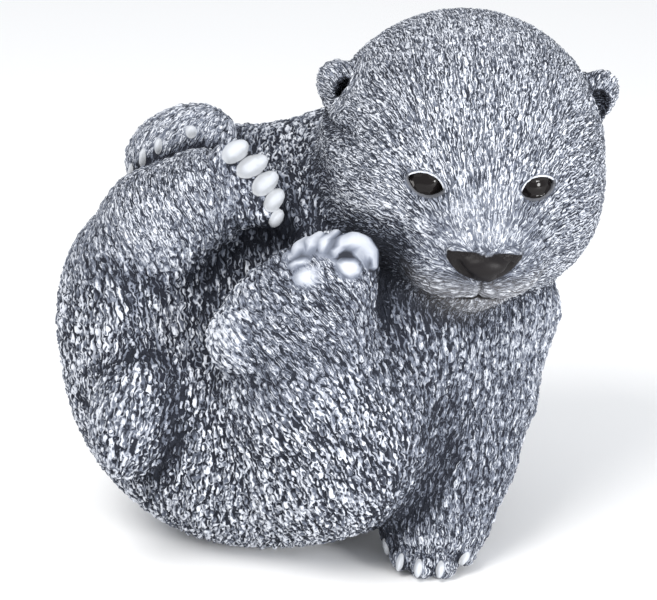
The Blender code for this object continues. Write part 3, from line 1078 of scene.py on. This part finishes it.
class FaceMarks:
    """Where the eyes, lids, nose, lips and muzzle are painted, in the head's own axes."""

    def __init__(self, paint, spot, shift):
        upright = Euler((STAND, 0, 0)).to_matrix()
        turn = (upright @ angles(HEAD_TURN).to_matrix()).to_euler()
        place = stood_up(np.array([HEAD_CENTRE], float))[0] - shift
        seen = paint.seen_from(spot, place, turn, (UNIT,) * 3)
        self.paint = paint
        self.x, self.y, self.z = paint.parts(seen)
        self.beside = paint.math("SUBTRACT", self.x, NOSE_CENTRE[0])
        self.off = paint.math("ABSOLUTE", self.beside)
        from_tip = paint.vector("SUBTRACT", seen, (0.0, 0.0, MUZZLE_TIP))
        self.calm = paint.fall(paint.length(from_tip), 15.0, 50.0)
        self.mark_eyes()
        self.mark_nose()
        self.mark_lips()
        self.mark_muzzle()

    def mark_eyes(self):
        """The gloss of each eyeball, the rim of painted shade round it, and the pale edge of its upper lid.
        """
        paint = self.paint
        folded = paint.node("ShaderNodeCombineXYZ")
        paint.feed(folded.inputs, (paint.math("ABSOLUTE", self.x), self.y, self.z))
        local = paint.seen_from(folded.outputs[0], EYE_CENTRE, angles(eye_turn(1)))
        along, across, out = paint.parts(local)
        wide = paint.math("POWER", paint.math("ABSOLUTE", paint.math("DIVIDE", along, ALMOND[0])), 2.0)
        high = paint.math("POWER", paint.math("ABSOLUTE", paint.math("DIVIDE", across, ALMOND[1])), LID_ARCH)
        shape = paint.math("SQRT", paint.math("ADD", wide, high))
        ahead = paint.rise(out, 2.0, 3.0)
        on_ball = paint.fall(paint.length(local), EYEBALL + 0.25, EYEBALL + 0.55)
        self.eye = paint.times(on_ball, paint.fall(shape, 1.0, 1.04), ahead)
        # The rim round the opening, painted dark as shade below the eye.
        self.rim = paint.times(paint.fall(shape, 1.07, 1.14), ahead)
        self.lid = paint.times(self.rim, paint.rise(across, 0.8, 2.0))

    def mark_nose(self):
        """The nose pad, within the same outline as its bare stone."""
        paint = self.paint
        share = paint.math("DIVIDE", self.off, NOSE_HALF)
        climb = paint.math("POWER", share, NOSE_SQUARE)
        low = paint.plus(paint.math("SUBTRACT", self.y, NOSE_LOW), climb, -NOSE_RISE)
        edge = paint.plus(NOSE_TOP, paint.math("POWER", share, 2.0), NOSE_SAG)
        top = paint.math("SUBTRACT", paint.plus(edge, self.beside, NOSE_TILT), self.y)
        inside = paint.lesser(paint.lesser(low, top), paint.math("SUBTRACT", NOSE_HALF, self.off))
        ahead = paint.rise(self.z, NOSE_FRONT - 1.0, NOSE_FRONT + 1.0)
        self.nose = paint.times(paint.rise(inside, -0.2, 0.4), ahead)

    def mark_lips(self):
        """The dark line between the lips, and the shorter one up to the nose."""
        paint = self.paint
        bend = paint.math("POWER", paint.math("DIVIDE", self.off, MOUTH_HALF), MOUTH_BEND)
        line = paint.plus(MOUTH_LEVEL, bend, -MOUTH_DROP)
        away = paint.math("ABSOLUTE", paint.math("SUBTRACT", self.y, line))
        ends = paint.fall(self.off, MOUTH_HALF + 2.0, MOUTH_HALF + 8.0)
        mouth = paint.times(paint.fall(away, 0.5, 1.3), ends)
        nose_foot = NOSE_CENTRE[1] - 10.0
        between = paint.times(paint.rise(self.y, MOUTH_LEVEL - 0.8, MOUTH_LEVEL + 0.7),
                              paint.fall(self.y, nose_foot - 1.0, nose_foot + 1.0))
        drop = paint.times(paint.fall(self.off, 0.2, 1.1), 0.6, between)
        self.lips = paint.times(paint.math("MAXIMUM", drop, mouth), 0.95, paint.rise(self.z, 62.0, 68.0))

    def mark_muzzle(self):
        """The lower muzzle and the chin, which have a warmer tint."""
        paint = self.paint
        low = paint.fall(self.y, -20.0, -6.0)
        near = paint.fall(self.off, 22.0, 40.0)
        self.muzzle = paint.times(low, near, paint.rise(self.z, 62.0, 80.0))


# Metres, apart from the photo's width in pixels and how much of the drawing a pixel spans at its centre.
FLOOR_HALF = 6.0
CAMERA_DISTANCE = 1.1
PHOTO_WIDTH = 657
UNITS_PER_PIXEL = 0.5


def floor():
    """A plain pale floor, far wider than the view."""
    corners = np.array(((-1, -1, 0), (1, -1, 0), (1, 1, 0), (-1, 1, 0)), float) * FLOOR_HALF
    mesh = new_mesh("floor", corners, np.array([[0, 1, 2, 3]]))
    piece = bpy.data.objects.new("floor", mesh)
    bpy.context.scene.collection.objects.link(piece)
    material = bpy.data.materials.new("pale_floor")
    material.use_nodes = True
    shader = material.node_tree.nodes["Principled BSDF"]
    shader.inputs["Base Color"].default_value = (0.93, 0.93, 0.93, 1.0)
    shader.inputs["Roughness"].default_value = 0.9
    mesh.materials.append(material)
    return piece


def lamp(name, place, target, size, power, colour=(1, 1, 1)):
    """A round soft lamp that looks at a target."""
    light = bpy.data.lights.new(name, "AREA")
    light.shape = "DISK"
    light.size = size
    light.energy = power
    light.color = colour
    piece = bpy.data.objects.new(name, light)
    piece.location = place
    piece.rotation_euler = (Vector(target) - Vector(place)).to_track_quat("-Z", "Y").to_euler()
    bpy.context.scene.collection.objects.link(piece)


def studio(shift):
    """Even light from all round, a soft key lamp, a small low one for the eyes, and the camera."""
    world = bpy.data.worlds.new("studio")
    world.use_nodes = True
    sky = world.node_tree.nodes["Background"]
    sky.inputs["Color"].default_value = (0.95, 0.97, 1.0, 1.0)
    sky.inputs["Strength"].default_value = 0.85
    scene = bpy.context.scene
    scene.world = world
    scene.view_settings.view_transform = "Standard"
    scene.view_settings.look = "None"
    target = Vector((0.0, 0.0, GROUND_DROP * UNIT)) - Vector(shift)
    lamp("key", (-0.7, -0.9, 1.6), target, 1.0, 24.0, (1.0, 0.98, 0.95))
    lamp("glint", (0.96, -1.01, 0.33), target, 0.42, 14.0)
    camera = bpy.data.cameras.new("camera")
    camera.sensor_width = 36.0
    camera.lens = camera.sensor_width * CAMERA_DISTANCE / (PHOTO_WIDTH * UNITS_PER_PIXEL * UNIT)
    view = bpy.data.objects.new("camera", camera)
    view.location = target + CAMERA_DISTANCE * Vector((0.0, -math.cos(LEAN), math.sin(LEAN)))
    view.rotation_euler = (STAND, 0.0, 0.0)
    scene.collection.objects.link(view)
    scene.camera = view


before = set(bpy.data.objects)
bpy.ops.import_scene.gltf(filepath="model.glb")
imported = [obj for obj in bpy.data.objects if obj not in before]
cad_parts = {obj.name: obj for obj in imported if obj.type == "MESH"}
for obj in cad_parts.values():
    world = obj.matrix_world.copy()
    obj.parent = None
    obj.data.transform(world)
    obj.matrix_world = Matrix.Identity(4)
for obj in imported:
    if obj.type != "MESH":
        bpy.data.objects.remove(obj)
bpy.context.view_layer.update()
low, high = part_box("polar_bear_cub")
cub, shift = statue(low, high)
cub.data.materials.append(painted_stone(shift))
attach(cub, "root")
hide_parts("polar_bear_cub")
floor()
studio(shift)
